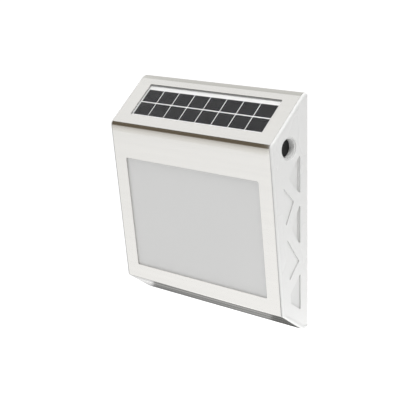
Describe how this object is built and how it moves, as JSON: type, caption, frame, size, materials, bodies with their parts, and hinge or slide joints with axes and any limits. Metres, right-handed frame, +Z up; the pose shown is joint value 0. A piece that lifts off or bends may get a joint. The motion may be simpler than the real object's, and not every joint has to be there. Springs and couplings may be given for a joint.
{
  "type": "solar house number light",
  "caption": "Wall light with a bent steel wrap, sloped solar panel on top, frosted front panel for a house number and a push switch in a side well.",
  "frame": {"origin": "midway between the entry holes of the two wall keyholes, on the wall plane", "axes": "+X to the right as seen from the front, +Y into the wall, +Z up"},
  "size_m": [0.18, 0.0477, 0.1987],
  "materials": {
    "brushed_steel": "brushed lengthwise",
    "cap_plastic": "white moulded ABS, soft gloss",
    "housing_plastic": "white moulded ABS, fine spark texture",
    "gasket_foam": "soft white foam",
    "screw_steel": "bright zinc",
    "battery_wrap": "gloss sleeve",
    "spring_steel": "nickel plated",
    "frosted_panel": "frosted acrylic",
    "reflector_plastic": "white moulded",
    "circuit_board": "green solder mask",
    "led_epoxy": "white case, yellow phosphor",
    "clear_cover": "clear resin",
    "silicon_cells": "dark blue-black silicon",
    "tinned_ribbon": "tinned",
    "panel_white": "white laminate",
    "chip_black": "moulded epoxy",
    "coil_ferrite": "sintered ferrite",
    "capacitor_can": "sleeved can",
    "connector_plastic": "natural nylon",
    "button_plastic": "black moulded",
    "switch_plastic": "black moulded",
    "lead_insulation": "red and black PVC"
  },
  "bodies": {
    "housing": {"steel_cover": "brushed_steel", "left_end_cap": "cap_plastic", "right_end_cap": "cap_plastic", "back_housing": "housing_plastic", "battery_door": "housing_plastic", "battery_door_seal": "gasket_foam", "diffuser_gasket": "gasket_foam", "solar_gasket": "gasket_foam", "back_screws": "screw_steel", "battery_door_screw": "screw_steel", "board_screws": "screw_steel", "switch_board_screws": "screw_steel", "battery_cell": "battery_wrap", "positive_contact": "spring_steel", "negative_contact": "spring_steel", "negative_spring": "spring_steel", "switch_spring": "spring_steel", "diffuser_panel": "frosted_panel", "light_tray": "reflector_plastic", "panel_carrier": "reflector_plastic", "led_board": "circuit_board", "control_board": "circuit_board", "switch_board": "circuit_board", "leds": "led_epoxy", "solar_cover": "clear_cover", "solar_cells": "silicon_cells", "solar_ribbons": "tinned_ribbon", "solar_board": "panel_white", "driver_chip": "chip_black", "boost_coil": "coil_ferrite", "capacitor": "capacitor_can", "board_connectors": "connector_plastic", "switch_body": "switch_plastic", "solar_leads": "lead_insulation", "led_leads": "lead_insulation", "switch_leads": "lead_insulation", "battery_leads": "lead_insulation"},
    "button": {"switch_button": "button_plastic", "switch_plunger": "switch_plastic"}
  },
  "joints": [
    {"name": "button_press", "type": "slide", "parent": "housing", "child": "button", "axis": [-1, 0, 0], "range_m": [0, 0.002], "stiffness_N_per_m": 450, "springref_m": -0.0025, "deforming": ["switch_spring"]}
  ]
}
